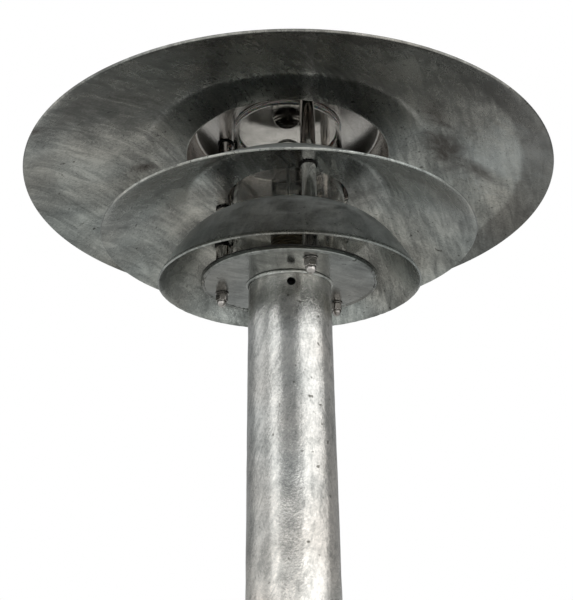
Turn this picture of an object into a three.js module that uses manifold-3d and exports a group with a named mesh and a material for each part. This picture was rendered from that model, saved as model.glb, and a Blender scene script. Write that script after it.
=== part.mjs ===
// Low street lamp post in hot-dip galvanised steel: a round pole on a foot plate carries a
// head of three tiered ring shades around a clear glass cylinder. Three threaded rods with
// spacer tubes stand on the pole's top flange and clamp the shades; the upper shade is
// closed by a crown and lifts off with the glass, so that the lamp inside can be changed.
// Millimetres, +Z up, origin on the ground under the middle of the pole.

import * as THREE from 'three';
import { mergeVertices } from 'three/addons/utils/BufferGeometryUtils.js';
import Module from 'manifold-3d';

const wasm = await Module();
wasm.setup();

// ---- driving dimensions ---------------------------------------------------------------

const GAP = 0.3; // clearance left between two pieces that touch

const POLE_RADIUS = 30.15;
const POLE_WALL = 2.9;
const VENT_RADIUS = 3; // drain hole for the zinc bath, just under the top flange
const VENT_DROP = 8; // its centre below the flange
const VENT_ANGLE = -88;

const FOOT_RADIUS = 115;
const FOOT_THICKNESS = 10;
const FOOT_BORE_RADIUS = 22; // the ground cable comes up through it
const ANCHOR_COUNT = 4;
const ANCHOR_CIRCLE_RADIUS = 90;
const ANCHOR_HOLE_RADIUS = 7;
const FOOT_WELD_LEG = 6;
const TOP_WELD_LEG = 2.5;

const FLANGE_LEVEL = 955; // underside of the top flange above the ground
const FLANGE_RADIUS = 64.4;
const FLANGE_THICKNESS = 3;
const FLANGE_EDGE_WIDTH = 2.3; // rounded zinc edge of the flange
const FLANGE_EDGE_RISE = 0.5;
const FLANGE_BORE_RADIUS = 10;
const GASKET_THICKNESS = 1;
const FLANGE_GASKET_BORE = 38;

const ROD_COUNT = 3;
const ROD_CIRCLE_RADIUS = 52.2;
const FIRST_ROD_ANGLE = -74.5;
const ROD_RADIUS = 2.5;
const ROD_HOLE_RADIUS = 2.9;
const TUBE_RADIUS = 5.5;
const TUBE_BORE_RADIUS = 3.2;
const PAD_RADIUS = 6.5; // black rubber pads between the tubes and the shades
const PAD_THICKNESS = 1;
const WASHER_RADIUS = 5;
const WASHER_THICKNESS = 1;

const NUT_ACROSS_FLATS = 8;
const NUT_HEX_HEIGHT = 5;
const NUT_DOME_RADIUS = 3.75;
const NUT_HEIGHT = 10;
const NUT_BORE_DEPTH = 7;

// Levels of the shades above the flange's underside, at the underside of their sheet.
const SHEET = 1.5;
const UPPER = {
  rimRadius: 188.5, rimLevel: 59.5,
  lipRadius: 171, lipLevel: 70.6, // the rim is pressed a little steeper than the skirt
  kneeRadius: 107.5, level: 103, wallRadius: 78,
};
const CROWN = { level: 131, radius: 74 };
const MIDDLE = { rimRadius: 135, rimLevel: 27.5, level: 71, kneeRadius: 74.5, boreRadius: 46 };
const LOWER = { rimRadius: 93.5, rimLevel: -3.5, level: 39, kneeRadius: 60, boreRadius: 46 };
const LOWER_BOWL = { radius: 75, level: 35.5 }; // the corner that the bowl's curve bends round
const KNEE_BEND = 5; // length of sheet that bends on each side of a knee
const CROWN_BEND = 2.5;
const LIP_BEND = 3;

const GLASS_RADIUS = 43;
const GLASS_WALL = 3;
const GLASS_GASKET = 0.7; // silicone ring between the glass and the reflector
const REFLECTOR_SHEET = 0.8; // polished disc that the glass holds against the crown

const BRIDGE = { span: 52, width: 18, height: 20, sheet: 1.5, foot: 10 };
const SCREW_RADIUS = 1.5;
const SCREW_HEAD_RADIUS = 3;
const SCREW_HEAD_HEIGHT = 2;
const HOLDER_RADIUS = 13.5;
const HOLDER_BORE_RADIUS = 8.2;
const HOLDER_HEIGHT = 36;
const HOLDER_FLOOR = 9;
const HOLDER_BASE = FLANGE_THICKNESS + BRIDGE.height + GAP;
const LAMP_RADIUS = 12.5;
const LAMP_CAP_RADIUS = 7;
const LAMP_CAP_HEIGHT = 24;
const LAMP_CAP_PROUD = 1; // how far the cap stands out of the holder
const LAMP_CAP_CONTACT = { radius: 2.5, height: 3 };
const LAMP_LENGTH = 62; // glass envelope
const LAMP_SHOULDER = 6;
const GLAND = { radius: 9, bore: 4, below: 6, collar: 12, collarHeight: 3, nut: 7, above: 9 };
const TERMINAL = {
  length: 24, width: 9, height: 12,
  edgeGap: 6, // from the flange gasket
  pitch: 7, wellRadius: 1.6, wellDepth: 4,
};
const WIRE_RADIUS = 1;
const WIRE_OFFSET = 4;

// Sides of the round pieces.
const SHADE_SEGMENTS = 48;
const DISC_SEGMENTS = 36;
const POLE_SEGMENTS = 32;
const SMALL_SEGMENTS = 12;

// ---- finishes ---------------------------------------------------------------------------

const finish = (color, metalness, roughness, extra = {}) =>
  new THREE.MeshStandardMaterial({ color, metalness, roughness, ...extra });

const GALVANISED_POLE = finish('#a9adab', 0.9, 0.4);
const GALVANISED_SHEET = finish('#7d827f', 0.85, 0.45);
const ZINC_WELD = finish('#b4b7b5', 0.8, 0.55);
const STAINLESS = finish('#b9b6b3', 1.0, 0.25);
const BLACK_RUBBER = finish('#161514', 0.0, 0.8);
const MILKY_SILICONE = finish('#c9c8c3', 0.0, 0.5);
const CLEAR_GLASS = finish('#e8ecea', 0.0, 0.05, { transparent: true, opacity: 0.3 });
const POLISHED_ALUMINIUM = finish('#d5d2cf', 1.0, 0.15);
const STEATITE = finish('#6e6452', 0.0, 0.5);
const NICKEL_BRASS = finish('#c8bfa6', 1.0, 0.3);
const GREY_NYLON = finish('#4a4d4e', 0.0, 0.6);
const WHITE_NYLON = finish('#dcdad2', 0.0, 0.55);
const BROWN_SHEATH = finish('#5b3a22', 0.0, 0.5);
const BLUE_SHEATH = finish('#2b5fa3', 0.0, 0.5);

// ---- solids -----------------------------------------------------------------------------

const radians = THREE.MathUtils.degToRad;

/** Merges a geometry's corners, so that its triangles share them and close the surface. */
function welded(geometry) {
  const bare = geometry.clone();
  bare.deleteAttribute('normal');
  bare.deleteAttribute('uv');
  return mergeVertices(bare, 1e-4);
}

/** A closed geometry as a solid that can be joined and cut. */
function solid(geometry) {
  const mesh = welded(geometry);
  return new wasm.Manifold(new wasm.Mesh({
    numProp: 3,
    vertProperties: new Float32Array(mesh.attributes.position.array),
    triVerts: new Uint32Array(mesh.index.array),
  }));
}

/** The surface of a solid as a geometry. */
function surface(body) {
  const mesh = body.getMesh();
  const geometry = new THREE.BufferGeometry();
  geometry.setAttribute('position', new THREE.BufferAttribute(mesh.vertProperties, 3));
  geometry.setIndex(new THREE.BufferAttribute(mesh.triVerts, 1));
  return geometry;
}

const cut = (geometry, ...tools) =>
  surface(tools.reduce((body, tool) => body.subtract(solid(tool)), solid(geometry)));
const joined = (geometry, ...others) =>
  surface(others.reduce((body, other) => body.add(solid(other)), solid(geometry)));

/** Turns an outline of [radius, height] points about the Z axis. */
function turned(outline, segments) {
  const points = outline.map(([radius, height]) => new THREE.Vector2(radius, height));
  const area = THREE.ShapeUtils.area(points);
  if (area < 0) points.reverse();
  if (points[0].x > 0) points.push(points[0].clone());
  return welded(new THREE.LatheGeometry(points, segments).rotateX(Math.PI / 2));
}

/** A ring, or a disc where the bore is 0, between two heights. */
function ring(radius, bore, low, high, segments) {
  return turned([[bore, low], [radius, low], [radius, high], [bore, high]], segments);
}

/** A round bar along Z between two heights. */
function bar(radius, low, high, segments) {
  const height = high - low;
  return new THREE.CylinderGeometry(radius, radius, height, segments)
    .rotateX(Math.PI / 2)
    .translate(0, 0, low + height / 2);
}

/** Sheet metal that follows a path of [radius, height], thickened upwards and outwards. */
function sheetOutline(path, thickness) {
  const under = path.getPoints(3).filter((point, index, all) =>
    index === 0 || point.distanceTo(all[index - 1]) > 1e-3);
  const over = under.map((point, index) => {
    const before = under[Math.max(index - 1, 0)];
    const after = under[Math.min(index + 1, under.length - 1)];
    const into = point.clone().sub(before).normalize();
    const out = after.clone().sub(point).normalize();
    const along = into.add(out).normalize();
    const half = index === 0 || index === under.length - 1
      ? 1
      : Math.max(0.5, Math.abs(along.dot(after.clone().sub(point).normalize())));
    const reach = thickness / half;
    return new THREE.Vector2(point.x + along.y * reach, point.y - along.x * reach);
  });
  return [...under, ...over.reverse()].map((point) => [Math.max(point.x, 0), point.y]);
}

/** Rounds the corner of a path at (radius, level): straight to the bend, then round it. */
function bend(path, from, corner, to, reach) {
  const start = new THREE.Vector2().subVectors(from, corner).setLength(reach).add(corner);
  const end = new THREE.Vector2().subVectors(to, corner).setLength(reach).add(corner);
  path.lineTo(start.x, start.y);
  path.quadraticCurveTo(corner.x, corner.y, end.x, end.y);
}

/** Where a rod stands: the three are spaced evenly round the pole. */
function rodPlace(index) {
  const angle = radians(FIRST_ROD_ANGLE + (index * 360) / ROD_COUNT);
  return [ROD_CIRCLE_RADIUS * Math.cos(angle), ROD_CIRCLE_RADIUS * Math.sin(angle)];
}

/** Drills through a piece at the three rods, between two levels. */
function drilled(geometry, low, high) {
  const drills = Array.from({ length: ROD_COUNT }, (_, index) =>
    bar(ROD_HOLE_RADIUS, low - 1, high + 1, 10).translate(...rodPlace(index), 0));
  return cut(geometry, ...drills);
}

const piece = (name, geometry, material) => {
  const mesh = new THREE.Mesh(geometry, material);
  mesh.name = name;
  return mesh;
};

// ---- the post -----------------------------------------------------------------------------

function footPlate() {
  const plate = ring(FOOT_RADIUS, FOOT_BORE_RADIUS, 0, FOOT_THICKNESS, DISC_SEGMENTS);
  const anchors = Array.from({ length: ANCHOR_COUNT }, (_, index) => {
    const angle = radians(45 + (index * 360) / ANCHOR_COUNT);
    return bar(ANCHOR_HOLE_RADIUS, -1, FOOT_THICKNESS + 1, SMALL_SEGMENTS)
      .translate(ANCHOR_CIRCLE_RADIUS * Math.cos(angle), ANCHOR_CIRCLE_RADIUS * Math.sin(angle), 0);
  });
  return piece('foot_plate', cut(plate, ...anchors), GALVANISED_POLE);
}

function pole() {
  const low = FOOT_THICKNESS + GAP;
  const high = FLANGE_LEVEL - GAP;
  const tube = ring(POLE_RADIUS, POLE_RADIUS - POLE_WALL, low, high, POLE_SEGMENTS);
  const vent = new THREE.CylinderGeometry(VENT_RADIUS, VENT_RADIUS, 2 * POLE_WALL + 4, 12)
    .rotateZ(Math.PI / 2)
    .translate(POLE_RADIUS - POLE_WALL / 2, 0, 0)
    .rotateZ(radians(VENT_ANGLE))
    .translate(0, 0, FLANGE_LEVEL - VENT_DROP);
  return piece('pole_tube', cut(tube, vent), GALVANISED_POLE);
}

/** A fillet weld round the pole; up is 1 where it stands on a plate and -1 where it hangs. */
function weldBead(name, leg, level, up) {
  const inner = POLE_RADIUS + GAP;
  const base = level + up * GAP;
  return piece(name, turned([
    [inner, base],
    [inner + leg, base],
    [inner + leg * 0.55, base + up * leg * 0.55],
    [inner, base + up * leg],
  ], POLE_SEGMENTS), ZINC_WELD);
}

function topFlange() {
  const disc = turned([
    [FLANGE_BORE_RADIUS, 0],
    [FLANGE_RADIUS - FLANGE_EDGE_WIDTH, 0],
    [FLANGE_RADIUS, FLANGE_EDGE_RISE],
    [FLANGE_RADIUS, FLANGE_THICKNESS - GAP],
    [FLANGE_BORE_RADIUS, FLANGE_THICKNESS - GAP],
  ], DISC_SEGMENTS);
  return piece('top_flange', drilled(disc, 0, FLANGE_THICKNESS), GALVANISED_POLE);
}

function flangeGasket() {
  const low = FLANGE_THICKNESS;
  const high = FLANGE_THICKNESS + GASKET_THICKNESS - GAP;
  const disc = ring(FLANGE_RADIUS, FLANGE_GASKET_BORE, low, high, DISC_SEGMENTS);
  return piece('flange_gasket', drilled(disc, low, high), BLACK_RUBBER);
}

// ---- rods, tubes and nuts -------------------------------------------------------------------

/** A cap nut standing on its hexagon at height 0, with its thread open underneath. */
function capNut() {
  const corner = NUT_ACROSS_FLATS / 2 / Math.cos(Math.PI / 6);
  const hexagon = bar(corner, 0, NUT_HEX_HEIGHT, 6);
  const domeBase = NUT_HEX_HEIGHT - 1;
  const domeRise = NUT_HEIGHT - domeBase;
  const arc = Array.from({ length: 5 }, (_, step) => {
    const angle = (step / 4) * (Math.PI / 2);
    return [NUT_DOME_RADIUS * Math.cos(angle), domeBase + domeRise * Math.sin(angle)];
  });
  arc[arc.length - 1][0] = 0;
  const dome = turned([[0, domeBase], ...arc], 12);
  const thread = bar(ROD_RADIUS + GAP, -1, NUT_BORE_DEPTH, 12);
  return cut(joined(hexagon, dome), thread);
}

function rodSet(index) {
  const set = new THREE.Group();
  const label = index + 1;
  const tubeBetween = (name, low, high) =>
    piece(name, ring(TUBE_RADIUS, TUBE_BORE_RADIUS, low, high - GAP, SMALL_SEGMENTS), STAINLESS);
  const padUnder = (name, level) =>
    piece(name,
      ring(PAD_RADIUS, TUBE_BORE_RADIUS, level - PAD_THICKNESS, level - GAP, SMALL_SEGMENTS), BLACK_RUBBER);
  const washerAt = (name, low) =>
    piece(name,
      ring(WASHER_RADIUS, ROD_HOLE_RADIUS, low, low + WASHER_THICKNESS - GAP, SMALL_SEGMENTS), STAINLESS);

  const rodEnd = NUT_BORE_DEPTH - 2;
  const washerTop = CROWN.level + SHEET + GAP + WASHER_THICKNESS;
  const rod = bar(ROD_RADIUS, -WASHER_THICKNESS - rodEnd, washerTop + rodEnd, 10);
  const gasketTop = FLANGE_THICKNESS + GASKET_THICKNESS;
  set.add(
    piece(`threaded_rod_${label}`, rod, STAINLESS),
    tubeBetween(`lower_spacer_tube_${label}`, gasketTop, LOWER.level - PAD_THICKNESS),
    padUnder(`lower_shade_pad_${label}`, LOWER.level),
    tubeBetween(`middle_spacer_tube_${label}`, LOWER.level + SHEET + GAP, MIDDLE.level - PAD_THICKNESS),
    padUnder(`middle_shade_pad_${label}`, MIDDLE.level),
    tubeBetween(`upper_spacer_tube_${label}`, MIDDLE.level + SHEET + GAP, CROWN.level - PAD_THICKNESS),
    padUnder(`crown_pad_${label}`, CROWN.level),
    washerAt(`flange_washer_${label}`, -WASHER_THICKNESS),
    washerAt(`crown_washer_${label}`, CROWN.level + SHEET + GAP),
  );
  const flangeNut = piece(`flange_cap_nut_${label}`, capNut(), STAINLESS);
  flangeNut.rotation.x = Math.PI;
  flangeNut.position.z = -WASHER_THICKNESS - GAP;
  const crownNut = piece(`crown_cap_nut_${label}`, capNut(), STAINLESS);
  crownNut.position.z = washerTop;
  set.add(flangeNut, crownNut);
  set.position.set(...rodPlace(index), 0);
  return set;
}

// ---- shades ---------------------------------------------------------------------------------

const at = (radius, level) => new THREE.Vector2(radius, level);

/** Sloping skirt, flat brim and raised closed crown, spun from one sheet. */
function upperShade() {
  const rim = at(UPPER.rimRadius, UPPER.rimLevel);
  const lip = at(UPPER.lipRadius, UPPER.lipLevel);
  const knee = at(UPPER.kneeRadius, UPPER.level);
  const wallFoot = at(UPPER.wallRadius, UPPER.level);
  const wallTop = at(CROWN.radius, CROWN.level);
  const middle = at(0, CROWN.level);
  const path = new THREE.Path();
  path.moveTo(rim.x, rim.y);
  bend(path, rim, lip, knee, LIP_BEND);
  bend(path, lip, knee, wallFoot, KNEE_BEND);
  bend(path, knee, wallFoot, wallTop, CROWN_BEND);
  bend(path, wallFoot, wallTop, middle, CROWN_BEND);
  path.lineTo(middle.x, middle.y);
  const shell = turned(sheetOutline(path, SHEET), SHADE_SEGMENTS);
  return piece('upper_shade', drilled(shell, CROWN.level, CROWN.level + SHEET), GALVANISED_SHEET);
}

/** Sloping skirt and flat ring with a round opening for the glass. */
function middleShade() {
  const rim = at(MIDDLE.rimRadius, MIDDLE.rimLevel);
  const knee = at(MIDDLE.kneeRadius, MIDDLE.level);
  const bore = at(MIDDLE.boreRadius, MIDDLE.level);
  const path = new THREE.Path();
  path.moveTo(rim.x, rim.y);
  bend(path, rim, knee, bore, KNEE_BEND);
  path.lineTo(bore.x, bore.y);
  const shell = turned(sheetOutline(path, SHEET), SHADE_SEGMENTS);
  return piece('middle_shade', drilled(shell, MIDDLE.level, MIDDLE.level + SHEET), GALVANISED_SHEET);
}

/** Bowl-shaped skirt that curves into a flat ring with the same opening. */
function lowerShade() {
  const path = new THREE.Path();
  path.moveTo(LOWER.rimRadius, LOWER.rimLevel);
  path.quadraticCurveTo(LOWER_BOWL.radius, LOWER_BOWL.level, LOWER.kneeRadius, LOWER.level);
  path.lineTo(LOWER.boreRadius, LOWER.level);
  const shell = turned(sheetOutline(path, SHEET), SHADE_SEGMENTS);
  return piece('lower_shade', drilled(shell, LOWER.level, LOWER.level + SHEET), GALVANISED_SHEET);
}

// ---- glass, reflector and lamp ----------------------------------------------------------------

// The crown, the reflector, the silicone ring and the glass are stacked with a gap between them.
const REFLECTOR_TOP = CROWN.level - GAP;
const GLASS_GASKET_TOP = REFLECTOR_TOP - REFLECTOR_SHEET - GAP;
const GLASS_TOP = GLASS_GASKET_TOP - GLASS_GASKET - GAP;

function glassCylinder() {
  const low = FLANGE_THICKNESS + GASKET_THICKNESS;
  return piece('glass_cylinder',
    ring(GLASS_RADIUS, GLASS_RADIUS - GLASS_WALL, low, GLASS_TOP, DISC_SEGMENTS), CLEAR_GLASS);
}

function glassGasket() {
  const low = GLASS_GASKET_TOP - GLASS_GASKET;
  return piece('glass_top_gasket',
    ring(GLASS_RADIUS, GLASS_RADIUS - GLASS_WALL, low, GLASS_GASKET_TOP, DISC_SEGMENTS), MILKY_SILICONE);
}

/** A flat polished disc under the crown, as wide as the glass that holds it there. */
function reflector() {
  return piece('reflector_disc',
    ring(GLASS_RADIUS, 0, REFLECTOR_TOP - REFLECTOR_SHEET, REFLECTOR_TOP, DISC_SEGMENTS), POLISHED_ALUMINIUM);
}

/** A bent steel bridge over the cable gland; the lamp holder stands on it. */
function holderBridge() {
  const half = BRIDGE.span / 2;
  const { sheet, height, foot, width } = BRIDGE;
  const leg = half - foot;
  const profile = [
    [-half, 0], [-leg + sheet, 0], [-leg + sheet, height - sheet], [leg - sheet, height - sheet],
    [leg - sheet, 0], [half, 0], [half, sheet], [leg, sheet], [leg, height], [-leg, height],
    [-leg, sheet], [-half, sheet],
  ];
  const shape = new THREE.Shape(profile.map(([x, z]) => new THREE.Vector2(x, z)));
  const strip = new THREE.ExtrudeGeometry(shape, { depth: width, bevelEnabled: false })
    .rotateX(Math.PI / 2)
    .translate(0, width / 2, FLANGE_THICKNESS);
  const holes = [-1, 1].map((side) =>
    bar(SCREW_RADIUS + GAP, FLANGE_THICKNESS - 1, FLANGE_THICKNESS + sheet + 1, 12)
      .translate(side * (half - foot / 2), 0, 0));
  return piece('holder_bridge', cut(strip, ...holes), STAINLESS);
}

function bridgeScrew(label, side) {
  const underHead = FLANGE_THICKNESS + BRIDGE.sheet + GAP;
  const head = bar(SCREW_HEAD_RADIUS, underHead, underHead + SCREW_HEAD_HEIGHT, 12);
  const shank = bar(SCREW_RADIUS, FLANGE_THICKNESS, underHead + 1, 12);
  const screw = piece(`bridge_screw_${label}`, joined(head, shank), STAINLESS);
  screw.position.x = side * (BRIDGE.span - BRIDGE.foot) / 2;
  return screw;
}

function lampHolder() {
  const low = HOLDER_BASE;
  const high = low + HOLDER_HEIGHT;
  return piece('lamp_holder', turned([
    [0, low],
    [HOLDER_RADIUS, low],
    [HOLDER_RADIUS, high],
    [HOLDER_BORE_RADIUS, high],
    [HOLDER_BORE_RADIUS, low + HOLDER_FLOOR],
    [0, low + HOLDER_FLOOR],
  ], 20), STEATITE);
}

function lampCap() {
  const top = HOLDER_BASE + HOLDER_HEIGHT + LAMP_CAP_PROUD;
  const low = top - LAMP_CAP_HEIGHT;
  return piece('lamp_cap', turned([
    [0, low],
    [LAMP_CAP_CONTACT.radius, low],
    [LAMP_CAP_RADIUS, low + LAMP_CAP_CONTACT.height],
    [LAMP_CAP_RADIUS, top],
    [0, top],
  ], SMALL_SEGMENTS), NICKEL_BRASS);
}

/** A slim tubular bulb: a short shoulder, a straight tube and a round tip. */
function lampEnvelope() {
  const low = HOLDER_BASE + HOLDER_HEIGHT + LAMP_CAP_PROUD + GAP;
  const tipCentre = low + LAMP_LENGTH - LAMP_RADIUS;
  const tip = Array.from({ length: 5 }, (_, step) => {
    const angle = (step / 4) * (Math.PI / 2);
    return [LAMP_RADIUS * Math.cos(angle), tipCentre + LAMP_RADIUS * Math.sin(angle)];
  });
  tip[tip.length - 1][0] = 0;
  return piece('lamp_envelope', turned([
    [0, low],
    [LAMP_CAP_RADIUS, low],
    [LAMP_RADIUS, low + LAMP_SHOULDER],
    ...tip,
  ], 20), CLEAR_GLASS);
}

/** Nylon gland in the flange bore; the ground cable is clamped in it. */
function cableGland() {
  const seat = FLANGE_THICKNESS;
  const { radius, bore, below, collar, collarHeight, nut, above } = GLAND;
  return piece('cable_gland', turned([
    [bore, -below],
    [radius, -below],
    [radius, seat],
    [collar, seat],
    [collar, seat + collarHeight],
    [nut, seat + above],
    [bore, seat + above],
  ], 16), GREY_NYLON);
}

const TERMINAL_PLACE = -FLANGE_GASKET_BORE + TERMINAL.width + TERMINAL.edgeGap;

/** Three-way terminal block on the flange, in front of the bridge. */
function terminalBlock() {
  const top = FLANGE_THICKNESS + TERMINAL.height;
  const block = new THREE.BoxGeometry(TERMINAL.length, TERMINAL.width, TERMINAL.height)
    .translate(0, TERMINAL_PLACE, top - TERMINAL.height / 2);
  const wells = [-TERMINAL.pitch, 0, TERMINAL.pitch].map((x) =>
    bar(TERMINAL.wellRadius, top - TERMINAL.wellDepth, top + 1, 10).translate(x, TERMINAL_PLACE, 0));
  return piece('terminal_block', cut(block, ...wells), WHITE_NYLON);
}

/** A short single wire from the terminal block up to the holder's underside. */
function holderWire(name, x, material) {
  const start = FLANGE_THICKNESS + TERMINAL.height / 2;
  const blockFace = TERMINAL_PLACE + TERMINAL.width / 2 + GAP;
  const end = FLANGE_THICKNESS + BRIDGE.height - GAP;
  const riser = -(BRIDGE.width / 2 + 2.2); // beside the bridge, under the holder's edge
  const route = new THREE.CatmullRomCurve3([
    new THREE.Vector3(x, blockFace, start),
    new THREE.Vector3(x, blockFace + 2, start),
    new THREE.Vector3(x, riser - 1.2, start + 3),
    new THREE.Vector3(x, riser, start + 7),
    new THREE.Vector3(x, riser, end),
  ]);
  const section = new THREE.Shape().absarc(0, 0, WIRE_RADIUS, 0, 2 * Math.PI);
  return piece(name, new THREE.ExtrudeGeometry(section,
    { extrudePath: route, steps: 10, curveSegments: 4, bevelEnabled: false }), material);
}

// ---- assembly ---------------------------------------------------------------------------------

const group = new THREE.Group();
group.add(
  footPlate(),
  pole(),
  weldBead('foot_weld', FOOT_WELD_LEG, FOOT_THICKNESS, 1),
  weldBead('flange_weld', TOP_WELD_LEG, FLANGE_LEVEL, -1),
);

const head = new THREE.Group();
head.position.z = FLANGE_LEVEL;
head.add(
  topFlange(),
  flangeGasket(),
  lowerShade(),
  middleShade(),
  upperShade(),
  glassCylinder(),
  glassGasket(),
  reflector(),
  holderBridge(),
  bridgeScrew(1, -1),
  bridgeScrew(2, 1),
  lampHolder(),
  lampCap(),
  lampEnvelope(),
  cableGland(),
  terminalBlock(),
  holderWire('live_wire', -WIRE_OFFSET, BROWN_SHEATH),
  holderWire('neutral_wire', WIRE_OFFSET, BLUE_SHEATH),
);
for (let index = 0; index < ROD_COUNT; index += 1) head.add(rodSet(index));
group.add(head);

export default group;
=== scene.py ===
import math

import bmesh
import bpy
from mathutils import Matrix, Vector, noise


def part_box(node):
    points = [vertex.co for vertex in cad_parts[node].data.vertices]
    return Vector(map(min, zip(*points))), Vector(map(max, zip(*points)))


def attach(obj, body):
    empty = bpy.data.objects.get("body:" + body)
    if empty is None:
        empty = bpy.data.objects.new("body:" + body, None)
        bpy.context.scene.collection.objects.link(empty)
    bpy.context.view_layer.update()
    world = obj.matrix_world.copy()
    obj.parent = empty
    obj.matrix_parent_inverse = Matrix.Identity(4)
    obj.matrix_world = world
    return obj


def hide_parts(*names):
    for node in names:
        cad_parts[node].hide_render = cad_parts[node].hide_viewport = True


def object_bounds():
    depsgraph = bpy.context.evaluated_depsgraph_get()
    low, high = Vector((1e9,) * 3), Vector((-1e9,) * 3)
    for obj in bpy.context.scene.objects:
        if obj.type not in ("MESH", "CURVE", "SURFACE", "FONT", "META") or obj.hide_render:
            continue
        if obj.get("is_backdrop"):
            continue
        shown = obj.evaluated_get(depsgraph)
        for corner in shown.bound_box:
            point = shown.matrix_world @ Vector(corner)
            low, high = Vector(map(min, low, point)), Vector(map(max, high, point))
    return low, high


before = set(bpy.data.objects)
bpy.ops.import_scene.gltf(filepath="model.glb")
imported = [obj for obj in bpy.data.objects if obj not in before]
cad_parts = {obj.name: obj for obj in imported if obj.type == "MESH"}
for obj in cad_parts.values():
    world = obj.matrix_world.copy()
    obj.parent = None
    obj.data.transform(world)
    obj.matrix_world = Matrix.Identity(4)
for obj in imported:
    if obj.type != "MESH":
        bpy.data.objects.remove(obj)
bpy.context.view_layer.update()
MM = 0.001


# ---- Foot plate -------------------------------------------------------------------------
# Flame-cut 10 mm steel disc, hot-dip galvanised with the pole. Four anchor bolts go through
# it and the ground cable comes up through its middle. Its edges are eased before dipping.

def linear(code):
    """An sRGB hex colour as linear RGBA, which is what the shaders read."""
    parts = [int(code[i:i + 2], 16) / 255 for i in (1, 3, 5)]
    return [p / 12.92 if p <= 0.04045 else ((p + 0.055) / 1.055) ** 2.4 for p in parts] + [1.0]


def join(tree, node, inputs):
    """Sets a node's inputs, by name or number, each to a value or to the output it is linked to."""
    for key, value in inputs.items():
        if isinstance(value, bpy.types.NodeSocket):
            tree.links.new(value, node.inputs[key])
        else:
            node.inputs[key].default_value = value


def add(tree, kind, inputs=None, stops=(), **settings):
    """Adds a node with its settings and inputs; a ramp takes (position, hex colour) stops."""
    node = tree.nodes.new(kind)
    for key, value in settings.items():
        setattr(node, key, value)
    join(tree, node, inputs or {})
    if stops:
        elements = node.color_ramp.elements
        while len(elements) < len(stops):
            elements.new(0.5)
        for element, (position, code) in zip(elements, stops):
            element.position = position
            element.color = linear(code)
    return node


def new_material(name):
    """A material that is one principled surface, with its tree and that shader."""
    made = bpy.data.materials.new(name)
    made.use_nodes = True
    return made, made.node_tree, made.node_tree.nodes["Principled BSDF"]


def hot_dip_zinc(name, tones, patch_mm, stroke_mm, stroke_turn, gloss, sparkle):
    """Hot-dip galvanised steel: solid zinc, so fully metallic. The frozen bath leaves cloudy
    oxide patches, wipe strokes and ash specks, on a skin that is never quite flat."""
    made, tree, shader = new_material(name)
    place = add(tree, "ShaderNodeTexCoord").outputs["Object"]
    clouds = add(tree, "ShaderNodeTexNoise", {
        "Vector": place, "Scale": 1000 / patch_mm, "Detail": 8.0, "Roughness": 0.62, "Distortion": 0.6})
    along = add(tree, "ShaderNodeMapping", {
        "Vector": place, "Rotation": stroke_turn, "Scale": [size * MM for size in stroke_mm]},
        vector_type="TEXTURE")
    strokes = add(tree, "ShaderNodeTexNoise", {
        "Vector": along.outputs[0], "Scale": 1.0, "Detail": 5.0, "Roughness": 0.6, "Distortion": 1.0})
    grain = add(tree, "ShaderNodeTexNoise", {
        "Vector": place, "Scale": 600.0, "Detail": 4.0, "Roughness": 0.7})
    cloud_share = add(tree, "ShaderNodeMath", {0: clouds.outputs["Fac"], 1: 0.42}, operation="MULTIPLY")
    stroke_share = add(tree, "ShaderNodeMath", {
        0: strokes.outputs["Fac"], 1: 0.32, 2: cloud_share.outputs[0]}, operation="MULTIPLY_ADD")
    tone = add(tree, "ShaderNodeMath", {
        0: grain.outputs["Fac"], 1: 0.26, 2: stroke_share.outputs[0]}, operation="MULTIPLY_ADD").outputs[0]
    colour = add(tree, "ShaderNodeValToRGB", {"Fac": tone}, stops=[
        *zip((0.39, 0.47, 0.53, 0.61), tones)]).outputs["Color"]
    # The oxide is warm in some places and cool in others.
    tint = add(tree, "ShaderNodeTexNoise", {"Vector": place, "Scale": 11.0, "Detail": 2.0})
    tinted = add(tree, "ShaderNodeValToRGB", {"Fac": tint.outputs["Fac"]}, stops=(
        (0.38, "#f3f6f5"), (0.62, "#fbf6f0")))
    # Specks of ash from the bath stick here and there.
    specks = add(tree, "ShaderNodeTexNoise", {"Vector": place, "Scale": 230.0, "Detail": 2.0})
    ash = add(tree, "ShaderNodeValToRGB", {"Fac": specks.outputs["Fac"]}, stops=(
        (0.69, "#ffffff"), (0.74, "#77756f")))
    for share, layer in ((1.0, tinted), (0.85, ash)):
        colour = add(tree, "ShaderNodeMixRGB", {
            0: share, 1: colour, 2: layer.outputs["Color"]}, blend_type="MULTIPLY").outputs[0]
    dullness = add(tree, "ShaderNodeMapRange", {
        "Value": tone, "From Min": 0.38, "From Max": 0.62, "To Min": gloss[1], "To Max": gloss[0]})
    swell = add(tree, "ShaderNodeTexNoise", {"Vector": place, "Scale": 30.0, "Detail": 2.0})
    skin = add(tree, "ShaderNodeBump", {
        "Height": swell.outputs["Fac"], "Distance": 0.25 * MM, "Strength": 0.7})
    fine_skin = add(tree, "ShaderNodeBump", {
        "Height": grain.outputs["Fac"], "Distance": sparkle * MM, "Strength": 0.8, "Normal": skin.outputs[0]})
    stroke_skin = add(tree, "ShaderNodeBump", {
        "Height": strokes.outputs["Fac"], "Distance": 0.08 * MM, "Strength": 0.6,
        "Normal": fine_skin.outputs[0]})
    join(tree, shader, {"Base Color": colour, "Metallic": 1.0, "Roughness": dullness.outputs[0],
                        "Normal": stroke_skin.outputs[0]})
    return made


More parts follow.
